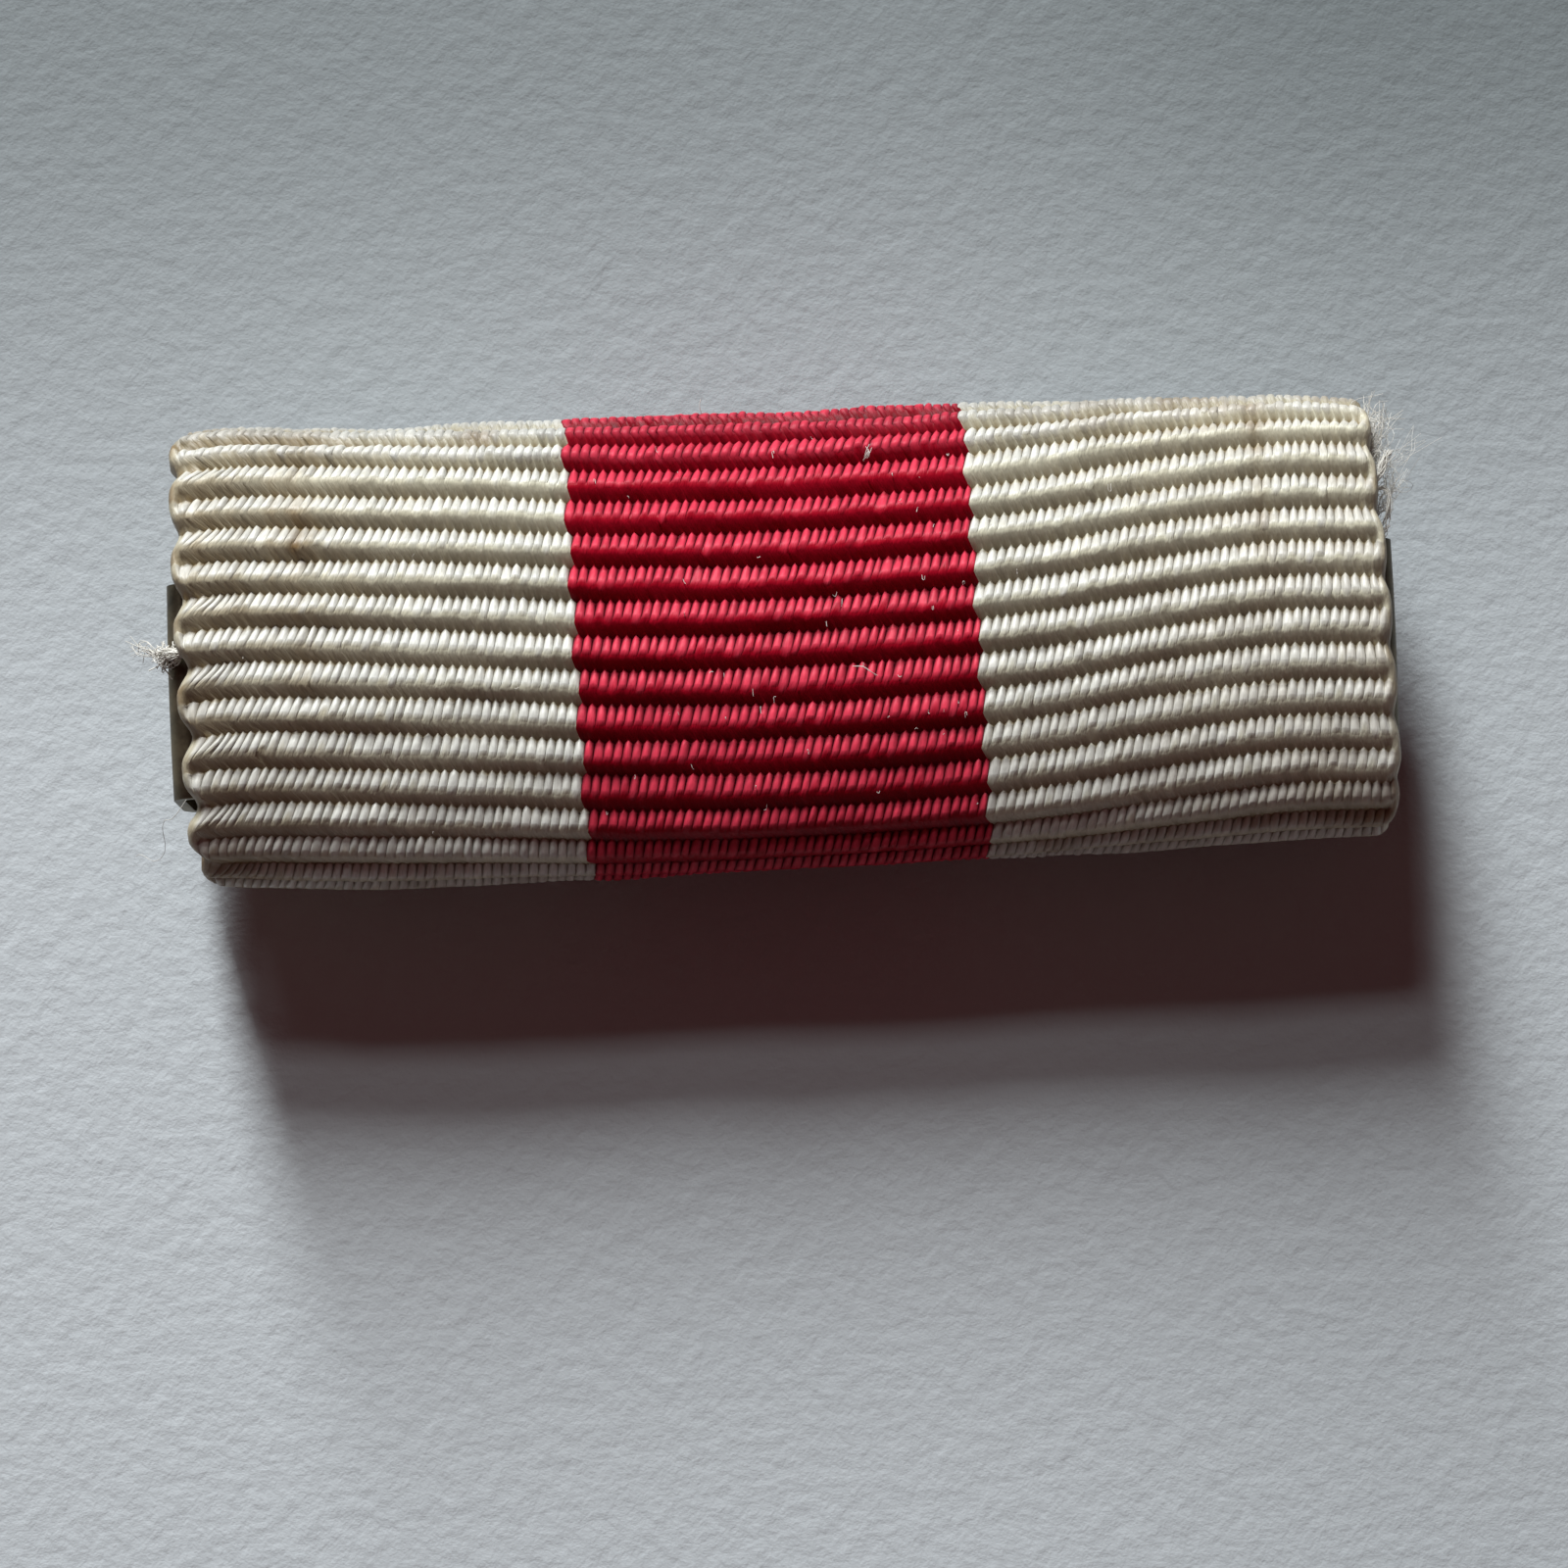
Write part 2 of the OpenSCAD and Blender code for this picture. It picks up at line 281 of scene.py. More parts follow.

# %% [markdown]
# The ribs bow along the bar, and the cloth stands off the long edges more in one place than in
# another. A short table gives both as shares of the sizes above. Read straight from row to row it
# would leave kinks, so each value is a mean of seven places close together.

# %% Form along the bar
FORM = np.array([
    # along, bow of the ribs, fullness at the top edge and at the bottom edge
    (-1.00, 0.53, 0.72, 0.30),
    (-0.97, 0.57, 0.94, 0.36),
    (-0.90, 0.65, 1.00, 0.58),
    (-0.80, 0.71, 0.88, 0.90),
    (-0.65, 0.61, 0.74, 0.96),
    (-0.48, 0.38, 0.76, 0.80),
    (-0.29, 0.12, 0.84, 0.84),
    (-0.10, 0.01, 0.84, 0.78),
    (0.10, 0.02, 0.84, 0.70),
    (0.30, 0.10, 0.86, 0.54),
    (0.46, 0.33, 0.80, 0.44),
    (0.58, 0.60, 0.80, 0.40),
    (0.70, 0.84, 0.76, 0.40),
    (0.80, 0.98, 0.74, 0.28),
    (0.88, 0.99, 0.62, 0.18),
    (0.97, 0.94, 0.42, 0.06),
    (1.00, 0.92, 0.34, 0.04),
])
BOW, TOP, BOTTOM = 1, 2, 3


def form(along, what):
    """Reads a column of FORM at places along the bar, rounded off between its rows."""
    reach = np.linspace(-0.05, 0.05, 7)
    weight = 1 + np.cos(np.pi * reach / 0.06)
    smoothed = sum(w * np.interp(along + r, FORM[:, 0], FORM[:, what]) for r, w in zip(reach, weight))
    return smoothed / weight.sum()


print("in the middle the ribs rise by", round(RIB_BOW * form(0, BOW), 2), "mm")

# %% [markdown]
# Three functions bend the cloth. The first follows the outline of the bar, the second says how
# wide the cloth is there, and the third uses both, and goes down into the cloth too.


# %% Bend the cloth
def outline(s, half):
    """Place across, height and outward turn at the length s, on a bar whose half height is half."""
    side = np.where(s < 0, -1.0, 1.0)
    face_turn = np.arcsin((half - SHOULDER_R) / (FACE_R - SHOULDER_R))
    centre = TURN_Z - (FACE_R - SHOULDER_R) * np.cos(face_turn)
    past_face = np.abs(s) - FACE_R * face_turn
    past_shoulder = past_face - SHOULDER_R * (np.pi / 2 - face_turn)
    past_fold = past_shoulder - FOLD_R * np.pi / 2
    where = [past_face < 0, past_shoulder < 0]
    turn = np.select(
        where,
        [np.abs(s) / FACE_R, face_turn + past_face / SHOULDER_R],
        np.minimum(np.pi, np.pi / 2 + past_shoulder / FOLD_R),
    )
    y = np.select(
        where,
        [FACE_R * np.sin(turn), half - SHOULDER_R * (1 - np.sin(turn))],
        half - FOLD_R * (1 - np.sin(turn)) - np.maximum(0, past_fold),
    )
    z = np.select(
        where,
        [centre + FACE_R * np.cos(turn), TURN_Z + SHOULDER_R * np.cos(turn)],
        TURN_Z + FOLD_R * np.cos(turn),
    )
    return side * y, z, side * turn


def half_width(s):
    """Half the ribbon's width, which is drawn in a little behind the bar."""
    turned_under = np.clip((np.abs(s) - BAR_H / 2) / (FOLD_R + SHOULDER_R), 0, 1)
    return RIBBON_W / 2 + (BACK_HALF_W - RIBBON_W / 2) * turned_under


def on_the_bar(along, s, depth, inward=0.0):
    """Points in millimetres: along is -1 to 1 from selvage to selvage, depth is below the crests."""
    top, bottom = form(along, TOP), form(along, BOTTOM)
    half = BAR_H / 2 + EDGE_SWELL * (top + bottom) / 2
    y, z, turn = outline(s + RIB_BOW * form(along, BOW) - BOW_DROP, half)
    y = y + EDGE_SWELL * (top - bottom) / 2
    x = along * half_width(s) - inward - s * SKEW
    return np.stack(np.broadcast_arrays(x, y - depth * np.sin(turn), z - depth * np.cos(turn)), axis=-1)


print("the middle of the face is at", on_the_bar(0, 0, 0).round(2), "mm")

# %% [markdown]
# ## The weave
#
# Corded ribbon is a plain weave of two very unlike threads. The weft is a fat cord, and each pass
# of it is one rib. The warp is fine silky threads that run across the bar and hide the cord
# completely: on one rib the odd threads float over it and on the next the even ones, so the
# floats of two neighbouring ribs interlock like the teeth of a comb. One rib shows 128 floats.
#
# A grid can be that cloth. Each float gets four columns, and each rib seven rows, so
# that every float has a crest, two flanks and two valleys. The row in the furrow zigzags,
# which gives the floats their pointed tips. The ribs behind the bar make do with four rows.

# %% Rows and columns of the cloth
THREADS = 128
COLUMNS_A_THREAD = 4
HALF_FLOAT = COLUMNS_A_THREAD // 2
ROWS_SEEN = (0.0, 0.17, 0.32, 0.44, 0.6, 0.79, 0.93)
ROWS_BEHIND = (0.0, 0.12, 0.5, 0.88)
RIBS_BEHIND = 4

rib_of_row, share_of_row = [], []
for rib in range(RIBS):
    behind = min(rib, RIBS - 1 - rib) < RIBS_BEHIND
    for share in ROWS_BEHIND if behind else ROWS_SEEN:
        rib_of_row.append(rib)
        share_of_row.append(share)
rib_of_row.append(RIBS - 1)
share_of_row.append(1.0)

rib = np.array(rib_of_row)[:, None]
share = np.array(share_of_row)[:, None]
column = np.arange(THREADS * COLUMNS_A_THREAD + 1)[None, :]
from_crest = (column / COLUMNS_A_THREAD + rib % 2 / 2 + 0.5) % 1 - 0.5
print(len(rib_of_row), "rows and", column.shape[1], "columns")

# %% [markdown]
# Hand-wrapped cloth isn't regular. The ribs waver, the threads lie a little closer here and
# further apart there, and the floats lean, as twisted yarn does, most of all towards the left
# selvage. All of this moves the grid within the cloth. The random numbers start from one
# seed, so the bar comes out the same each time.

# %% Tools for uneven cloth
SEED = 1905
FLOATS = (RIBS, THREADS + 1)

dice = np.random.default_rng(SEED)
float_of_column = ((column + HALF_FLOAT * (1 - rib % 2)) // COLUMNS_A_THREAD).astype(int)


def ease(value, start, end):
    """Goes smoothly from 0 at start to 1 at end."""
    t = np.clip((value - start) / (end - start), 0, 1)
    return t * t * (3 - 2 * t)


def slow_waves(count, size, shortest, longest):
    """Slow random waves along the bar, one line of them for each of count ribs or furrows."""
    place = np.linspace(-RIBBON_W / 2, RIBBON_W / 2, column.shape[1])
    waves = np.zeros((count, column.shape[1]))
    for _ in range(4):
        length = dice.uniform(shortest, longest, (count, 1))
        phase = dice.uniform(0, 2 * np.pi, (count, 1))
        waves += np.sin(2 * np.pi * place / length + phase)
    return size * waves / 2


def by_float(values):
    """Spreads one value for each float over its columns."""
    return values[rib, float_of_column]


def each_float(draw, *bounds):
    """Draws a number for each float, which counts in full on its crest and not in its gaps."""
    return by_float(draw(*bounds, FLOATS)) * mid_float


def span(values):
    """The least and the most of an array, to print."""
    return round(float(values.min()), 2), round(float(values.max()), 2)


# Both are 1 in the middle. One falls to 0 in the furrows, the other in the gaps
mid_rib = np.sin(np.pi * share)
mid_float = np.cos(np.pi * from_crest)
print(RIBS * THREADS, "floats, each with random numbers of its own")

# %% [markdown]
# Along the bar a thread keeps its place, give or take a little. Its floats sway to one side, and
# they are fuller in the middle, where no furrow holds them down. For that, the two columns
# halfway between a crest and its gaps move outwards.

# %% Spread the threads
# In shares of the distance from thread to thread
SPACING_SPREAD = 0.07
SWAY_SPREAD = 0.16
SWAY_FROM = 0.4
FULLER, FULLER_SPREAD = 0.06, 0.035

spacing = dice.normal(0, SPACING_SPREAD, THREADS + 1)
spacing = np.interp(column / COLUMNS_A_THREAD, np.arange(THREADS + 1), spacing)
sway = each_float(dice.normal, 0, SWAY_SPREAD) * mid_rib * (share - SWAY_FROM)
fuller = by_float(dice.normal(FULLER, FULLER_SPREAD, FLOATS))
flank = np.sign(from_crest) * (np.abs(np.abs(from_crest) - 0.25) < 0.01)
thread = column / COLUMNS_A_THREAD + spacing + fuller * flank * mid_rib + sway
along = 2 * thread / THREADS - 1
print("from thread to thread", RIBBON_W / THREADS, "mm")

# %% [markdown]
# Across the bar, slow waves bend the furrows, and each float starts and ends at a place of its
# own. A float that leans has a blunt tip, so the furrow's zigzag is weaker where they lean more.

# %% Bend the ribs
LEAN = np.array([
    # along, lean of the floats: sideways for each length across
    (-1.0, 0.55), (-0.9, 0.42), (-0.7, 0.28), (-0.5, 0.15), (-0.35, 0.12), (-0.17, 0.24), (0.17, 0.26),
    (0.3, 0.2), (0.6, 0.2), (0.8, 0.12), (1.0, 0.12),
])
WAVER_MM = 0.022
# In shares of a rib
TIP = 0.075
LONGER_SPREAD = 0.035
SHIFT, SHIFT_SPREAD = -0.01, 0.04

waver = slow_waves(RIBS + 1, WAVER_MM, 5, 22)
longer = each_float(dice.normal, 0, LONGER_SPREAD) * ease(share, 0.6, 0.93)
leaning = np.interp(along, LEAN[:, 0], LEAN[:, 1])
zigzag = -np.cos(2 * np.pi * from_crest) * (1 - leaning)
shift = each_float(dice.normal, SHIFT, SHIFT_SPREAD) * mid_rib * (1 - ease(share, 0.5, 0.7))
s = (rib + share + shift + TIP * zigzag * (1 - 2 * share) + longer * (share < 1)) * RIB_PITCH - HALF_CUT
s = s + waver[rib, column] * (1 - share) + waver[rib + 1, column] * share
print("furrows waver by", span(waver), "mm")

# %% [markdown]
# The lean comes last. A float goes sideways on its way up the rib, and the short stretch at the
# foot of the rib goes back, so that each rib starts in line. At the selvage nothing leans.

# %% Lean the floats
LEAN_TURNS = 0.3

side = np.sign(along)
to_selvage = np.maximum(0, (1 - np.abs(along)) * half_width(s))
lean = leaning * ease(to_selvage, 0.05, 0.6)
slant = np.where(share < LEAN_TURNS, 1 - share / LEAN_TURNS, (share - LEAN_TURNS) / (1 - LEAN_TURNS)) - 0.5
sideways = lean * RIB_PITCH * (1 - LEAN_TURNS) * slant
print("a float leans up to", round(math.degrees(math.atan(LEAN[:, 1].max()))), "degrees")

# %% [markdown]
# ## Relief
#
# Seen end on, a rib is a ridge with a rounded top, softer on its lower flank than on its upper
# one, and flatter on the lower half of the bar. On the upper flank each float stands up by
# itself, as a small grain with a dark gap on either side that opens towards its pointed tip. The
# grains don't match: each one starts a little higher or lower, leans its own way and is more or
# less full. On the lower flank handling has pressed the floats together to an almost smooth roll.
#
# The grid gets this in steps, and the edge comes first. At the selvage the weft turns round and
# comes back in the next rib, so the edge is scalloped: it stands out at each turn, where a smooth
# rim closes the furrow, and draws in between two turns, where the furrow runs out to the edge.
# The scallops are deep at the left and shallow at the right, where the lower ones stand out a
# little as well.

# %% Scallop the selvages
# In millimetres, but for the sharpness
SCALLOP_LEFT, SCALLOP_LEFT_EASES = 0.32, 0.1
SCALLOP_RIGHT = 0.1
SCALLOP_REACH = 2.2
SCALLOP_SHARPNESS = 1.7
RIGHT_STANDS_OUT = 0.07

drawn_in = (1 + side * np.cos(np.pi * s / RIB_PITCH)) / 2
swing_left = SCALLOP_LEFT - SCALLOP_LEFT_EASES * ease(s, -1, 3)
swing = np.where(side < 0, swing_left, SCALLOP_RIGHT) * drawn_in ** SCALLOP_SHARPNESS
swing = swing - RIGHT_STANDS_OUT * (side > 0) * ease(s, 3, 0)
inward = side * swing * (1 - ease(to_selvage, 0, SCALLOP_REACH))
print("the selvages are drawn in by", span(swing), "mm")

# %% [markdown]
# Each float lies pressed flat up to its foot, a little before the middle of the rib, and stands
# up from there on. Near the upper long edge the foot is lower, so more of the float stands.

# %% Stand the floats up
# In shares of a rib
FOOT = 0.42
FOOT_LEANING = 0.06
FOOT_DROP = 0.28
FOOT_SPREAD = 0.05
FOOT_RISE = 0.18
SWELL_SPREAD = 0.1
SWELL_PRESSED = 0.9

foot = FOOT + FOOT_LEANING * leaning - FOOT_DROP * ease(s, 4.2, 5.4)
pressed = 1 - ease(share, foot, foot + FOOT_RISE)
foot = foot + each_float(dice.normal, 0, FOOT_SPREAD)
standing = ease(share, foot, foot + FOOT_RISE)
swell = each_float(dice.normal, 0, SWELL_SPREAD) * mid_rib * (1 - SWELL_PRESSED * pressed)
print("feet at", span(foot), "of a rib")

# %% [markdown]
# The ridge is a hyperbola, two straight flanks that a round joins, and it is 0 on the crest and
# 1 in the furrows. The radius of the round is larger below the crest than above it. On the lower
# half of the bar the crest moves up the rib, and its lower flank is rounder still.

# %% Round the ridges
RIDGE_AT, RIDGE_SHIFT = 0.5, 0.08
RIDGE_R_UPPER = 0.3
RIDGE_R_LOWER, RIDGE_ROUNDER = 0.7, 0.5

on_rib = np.clip(share + TIP * zigzag * (1 - 2 * share) * pressed, 0, 1)
lower_half = 1 - ease(s, -4, 2)
ridge_at = RIDGE_AT + RIDGE_SHIFT * lower_half
from_ridge = (on_rib - ridge_at) / np.where(on_rib < ridge_at, ridge_at, 1 - ridge_at) + swell
ridge_r = np.where(from_ridge < 0, RIDGE_R_LOWER + RIDGE_ROUNDER * lower_half, RIDGE_R_UPPER)
arch = (np.hypot(from_ridge, ridge_r) - ridge_r) / (np.hypot(1, ridge_r) - ridge_r)
print("the ridge spans", span(arch))

# %% [markdown]
# Between two standing floats the cloth drops into a gap. Some gaps are wide open and others
# almost shut, and all of them end on the smooth rim along the selvage.

# %% Open the gaps between the floats
# In millimetres, but for the shares by which a gap opens
ROLL_RELIEF = 0.003
THREAD_RELIEF = 0.075
TIP_RELIEF = 0.05
GAP_SHUT, GAP_OPEN = 0.4, 1.5
RIM_W, RIM_NARROWS = 0.22, 0.6

rim_ends = RIM_W - RIM_NARROWS * drawn_in
ribbed = ease(to_selvage, rim_ends - 0.1, rim_ends + 0.12)
woven = ease(to_selvage, 0.08, 0.26)
valley = 1 - np.sqrt(1 - 0.98 * (2 * from_crest) ** 2)
thread_depth = ROLL_RELIEF + (THREAD_RELIEF - ROLL_RELIEF) * standing
thread_depth = thread_depth + TIP_RELIEF * (1 - leaning) * ease(share, 0.66, 1)
gap = (column + COLUMNS_A_THREAD - 1 - HALF_FLOAT * (rib % 2)) // COLUMNS_A_THREAD
open_gap = dice.uniform(GAP_SHUT, GAP_OPEN, (RIBS, THREADS + 2))[rib, gap]
threaded = thread_depth * (1 - arch ** 4) * open_gap * woven * valley
print("gaps are", span(threaded), "mm deep")

# %% [markdown]
# The selvage is round, with a low rim. Wear adds the rest: one float stands higher than the
# next, they have sunk here and there, and near each end an old crease crosses the upper ribs.

# %% Round the selvage and wear the floats
SELVAGE_R = 0.4
RIM_LOW = 0.06
LIFT = 0.008
UNEVEN = 0.03
SUNK = 0.03
CREASE_DEPTH = 0.04
CREASE_W = 0.22
CREASES = (-12.6, 12.9)

rounding = np.maximum(0, SELVAGE_R - to_selvage)
rounding = SELVAGE_R - np.sqrt(SELVAGE_R ** 2 - np.minimum(SELVAGE_R, rounding) ** 2)
low_rim = RIM_LOW * (1 - drawn_in) * (1 - ease(to_selvage, 0.2, 0.5)) * arch
lift = LIFT * standing * mid_float * ease(to_selvage, 0.1, 0.4)
uneven = each_float(dice.uniform, 0, UNEVEN) * mid_rib * standing
sunk = (SUNK + slow_waves(RIBS, SUNK, 3, 14))[rib, column] * mid_rib
flat_x = along * RIBBON_W / 2
crease = sum(CREASE_DEPTH * np.exp(-((flat_x - x) / CREASE_W) ** 2) for x in CREASES) * ease(s, 0.8, 2.8)
print("floats have sunk by", span(sunk), "mm")

# %% [markdown]
# These depths add up, and the functions from above carry the points onto the bar. The ribs
# leave a little room for what the threads add, and they are a third shallower on the lower half
# of the bar, where the low light still reaches their lower flanks.

# %% Lay the cloth on the bar
ROOM_FOR_THREADS = 0.04
SHALLOWER = 0.34
SEAM_COLUMNS = 8

depth = (RIB_DEPTH - ROOM_FOR_THREADS) * (1 - SHALLOWER * lower_half) * arch * ribbed
depth = depth + threaded + rounding + low_rim
depth = depth + np.maximum(0, uneven + sunk) + crease - lift
outer = on_the_bar(along, s, depth, inward)
outer[..., 0] += sideways
print("relief", span(depth[:, SEAM_COLUMNS:-SEAM_COLUMNS]), "mm")

# %% [markdown]
# ## One closed piece
#
# The underside is never seen, so it is a smooth skin with few columns, one of them at each border
# of the red stripe. The stripe is only a run of dyed warp threads, so each float is given its dye
# as a whole, and the border steps by half a thread from rib to rib.

# %% Line the cloth
RED_FROM_X, RED_TO_X = -5.39, 5.2
INSIDE_STEP = 32
INSIDE_INSET = 0.15
WALL_DEPTH = 0.78 * RIBBON_T

last = column.shape[1] - 1
red_from = (RED_FROM_X / RIBBON_W + 0.5) * THREADS
red_to = (RED_TO_X / RIBBON_W + 0.5) * THREADS
inside = [0, *range(INSIDE_STEP, last, INSIDE_STEP), last]
for border in (red_from, red_to):
    nearest = min(inside, key=lambda c: abs(c - border * COLUMNS_A_THREAD))
    inside[inside.index(nearest)] = HALF_FLOAT * round(border * COLUMNS_A_THREAD / HALF_FLOAT)

inside_column = np.array(inside)[None, :]
inside_along = 2 * inside_column / last - 1
inside_s = (rib + share) * RIB_PITCH - HALF_CUT + 0 * inside_along
inside_end = np.where(np.abs(inside_along) == 1, inside_along, 0)
inside_swing = (1 + inside_end * np.cos(np.pi * inside_s / RIB_PITCH)) / 2
inner = on_the_bar(inside_along, inside_s, RIBBON_T, inside_end * (INSIDE_INSET + SCALLOP * inside_swing))
walls = on_the_bar(along[:, [0, -1]], s[:, [0, -1]], WALL_DEPTH, inward[:, [0, -1]])
print("red from thread", round(red_from, 1), "to", round(red_to, 1))

# %% [markdown]
# Each row of the cloth is then a ring: over the outside, down one rounded selvage, back along the
# inside and up the other selvage. Rings in a row make the closed cloth, and its two cut ends
# are filled across.

# %% Join the skins and fill the cut ends
rings = np.concatenate([outer, walls[:, 1:], inner[:, ::-1], walls[:, :1]], axis=1)
rows, ring = rings.shape[:2]
row, place = np.meshgrid(np.arange(rows - 1), np.arange(ring), indexing="ij")
here = row * ring + place
beside = row * ring + (place + 1) % ring
faces = np.stack([here, beside, beside + ring, here + ring], axis=-1).reshape(-1, 4).tolist()

inside_first = last + 2
for start, flipped in ((0, True), ((rows - 1) * ring, False)):
    caps = [[last + 1, last, inside_first], [0, ring - 1, inside_first + len(inside) - 1]]
    for n in range(len(inside) - 1):
        below = inside_first + len(inside) - 1 - n
        caps.append([below - 1, *range(inside[n + 1], inside[n] - 1, -1), below])
    for cap in caps:
        cap = [start + c for c in cap]
        faces.append(cap if flipped else cap[::-1])

mesh = bpy.data.meshes.new("ribbon_cloth")
mesh.from_pydata((rings.reshape(-1, 3) * MM).tolist(), [], faces)
print(len(mesh.vertices), "points and", sum(len(f) - 2 for f in faces), "triangles")

# %% [markdown]
# ## What the materials need to know
#
# A material can read values that are stored on the mesh, one for each point. These are
# "toning_and_painted_shade", how far age has toned the cloth, with painted shade added on the
# standing floats towards the right end, "furrow", how deep in a furrow the point lies, "silky", how
# much its float stands up, "tint_and_painted_shade", the tint of its float, with painted shade on
# the ribs over the upper long edge, and "flat_mm", its place on the flat cloth and its depth in it.
# A UV map, "Float", runs across and along each single float, and the dye is a choice between two
# materials.

# %% Dye the stripe and map each float
dye_of_rib = rib[:-1] % 2 / 2
float_of_quad = (np.arange(last)[None, :] + HALF_FLOAT * (1 - rib[:-1] % 2)) // COLUMNS_A_THREAD
dyed = (float_of_quad + dye_of_rib >= red_from) & (float_of_quad + dye_of_rib <= red_to)
inside_dyed = [
    a >= red_from * COLUMNS_A_THREAD - 1 and b <= red_to * COLUMNS_A_THREAD + 1
    for a, b in zip(inside, inside[1:])
]
dye = np.zeros((rows - 1, ring), int)
dye[:, :last] = dyed
dye[:, last + 2:last + 1 + len(inside)] = inside_dyed[::-1]
cap_dye = [False, False, *inside_dyed] * 2
mesh.polygons.foreach_set("material_index", np.concatenate([dye.ravel(), cap_dye]).astype(np.int32))

left = from_crest[:-1, :-1]
right_of = left + 1 / COLUMNS_A_THREAD
low = np.broadcast_to(share[:-1], left.shape)
high = np.broadcast_to(np.where(rib[1:] == rib[:-1], share[1:], 1.0), left.shape)
float_uv = np.full((rows - 1, ring, 4, 2), (0.0, 0.5))
for corner, (u, v) in enumerate(((left, low), (right_of, low), (right_of, high), (left, high))):
    float_uv[:, :last, corner] = np.stack([u, v], axis=-1)
corners = np.full((len(mesh.loops), 2), (0.0, 0.5))
corners[:float_uv.size // 2] = float_uv.reshape(-1, 2)
mesh.uv_layers.new(name="Float").data.foreach_set("uv", corners.ravel())
print(int(dyed.sum()), "faces are dyed red")

# %% [markdown]
# Age has toned the cloth most where it was touched: along the upper long edge and at its
# corners, in streaks down both ends, and at the selvages. Each patch is a soft oval. Towards the
# right end the standing floats get the toned colour too, as painted shade where the light falls off.

# %% Tone the cloth
# In millimetres on the flat cloth
TONED = (
    # x, s, size along, size across, strength
    (-15.6, 6.9, 2.0, 1.0, 0.3),
    (-15.9, 5.5, 0.22, 0.4, 0.5),
    (-12.9, 6.0, 1.8, 0.8, 0.25),
    (-16.0, 0.8, 1.6, 7.0, 0.12),
    (-12.6, 2.6, 0.24, 3.4, 0.42),
    (-12.2, 2.4, 0.14, 2.6, 0.25),
    (-14.2, 2.0, 0.2, 3.0, 0.2),
    (-13.2, 3.0, 0.16, 3.0, 0.2),
    (-15.5, -7.0, 1.7, 0.9, 0.8),
    (-9.0, -7.6, 5.0, 0.6, 0.4),
    (-7.7, 5.9, 0.5, 0.3, 0.5),
    (11.2, 6.8, 2.0, 0.9, 0.4),
    (11.0, 6.0, 5.0, 1.4, 0.3),
    (-11.0, 6.0, 5.0, 1.2, 0.12),
    (12.8, 3.2, 0.22, 3.0, 0.35),
    (14.4, -6.6, 2.8, 0.9, 0.5),
    (16.1, 0.0, 0.5, 9.0, 0.1),
    (7.2, -7.1, 3.2, 0.7, 0.4),
)
SELVAGE_TONED = 0.25
# x, size along and strength over the whole height of the bar
# Painted shade: towards the right end the standing floats are toned darker, where the light falls off
RIGHT_GRAINS_PAINTED_SHADE = (14, 7, 0.2)
FLANKS_TONED = (-15, 5, 0.4)

cloth_x = (thread / THREADS - 0.5) * RIBBON_W
toning_and_painted_shade = sum(
    strength * np.exp(-((cloth_x - x) / wide) ** 2 - ((s - at) / long) ** 2)
    for x, at, wide, long, strength in TONED
)
toning_and_painted_shade = toning_and_painted_shade + SELVAGE_TONED * (1 - woven)
# Painted shade on the standing floats at the right, and toning of the pressed flanks at the left
for (x, wide, strength), where in ((RIGHT_GRAINS_PAINTED_SHADE, standing), (FLANKS_TONED, 1 - standing)):
    toning_and_painted_shade = toning_and_painted_shade + strength * np.exp(-((cloth_x - x) / wide) ** 2) * where
print("toning_and_painted_shade", span(toning_and_painted_shade))

# %% [markdown]
# No two floats have quite the same tint. Those that turn over the upper long edge look away from
# the eye, so painted shade makes them darker. Dust and painted shade fill the furrows, but not the
# tips of the floats that bridge them.

# %% Write the values on the points
# Painted shade on the ribs that turn over the upper long edge
TOP_RIBS_PAINTED_SHADE = 2.3
# How much of the dust and painted shade the tips of the floats over a furrow are spared
DUST_AND_SHADE_OFF_TIPS = 0.7

# Each float's random tint, less the painted shade of the ribs over the upper long edge
tint_and_painted_shade = each_float(dice.uniform, -1, 1) - TOP_RIBS_PAINTED_SHADE * ease(s, 5.0, 6.4)
on_tip = np.where(share == 0, 1 - mid_float, mid_float * ease(share, 0.5, 0.8))


def round_the_ring(outside, lining):
    """Values on the outer skin and on the lining, for all points of the closed cloth."""
    outside = np.broadcast_to(outside, outer.shape[:2])
    lining = np.broadcast_to(lining, inner.shape[:2])
    return np.concatenate([outside, outside[:, -1:], lining[:, ::-1], outside[:, :1]], axis=1).ravel()


point_values = {
    "toning_and_painted_shade": round_the_ring(toning_and_painted_shade, 0),
    # Where dust and painted shade go: deep in the furrows, less on the tips
    "furrow": round_the_ring(arch * ribbed * (1 - DUST_AND_SHADE_OFF_TIPS * on_tip), 1),
    "silky": round_the_ring(woven * standing, 0),
    "tint_and_painted_shade": round_the_ring(tint_and_painted_shade, 0),
}
for title, values in point_values.items():
    mesh.attributes.new(title, "FLOAT", "POINT").data.foreach_set("value", values.astype(np.float32))

# On the outer skin the depth is 0, so a pattern goes on round the selvage and doesn't smear there
below_skin = np.tile(np.arange(ring) > last, (rows, 1))
flat_mm = np.stack([
    round_the_ring(cloth_x, inside_along * RIBBON_W / 2),
    round_the_ring(s, inside_s),
    -WALL_DEPTH * below_skin.ravel(),
], axis=-1)
flat_place = mesh.attributes.new("flat_mm", "FLOAT_VECTOR", "POINT")
flat_place.data.foreach_set("vector", flat_mm.ravel().astype(np.float32))
print("on the points:", ", ".join(point_values), "and flat_mm")

# %% [markdown]
# Shading runs smoothly from face to face, except where two standing floats meet in a gap and
# where two ribs meet in a furrow. There the edges are marked as sharp.

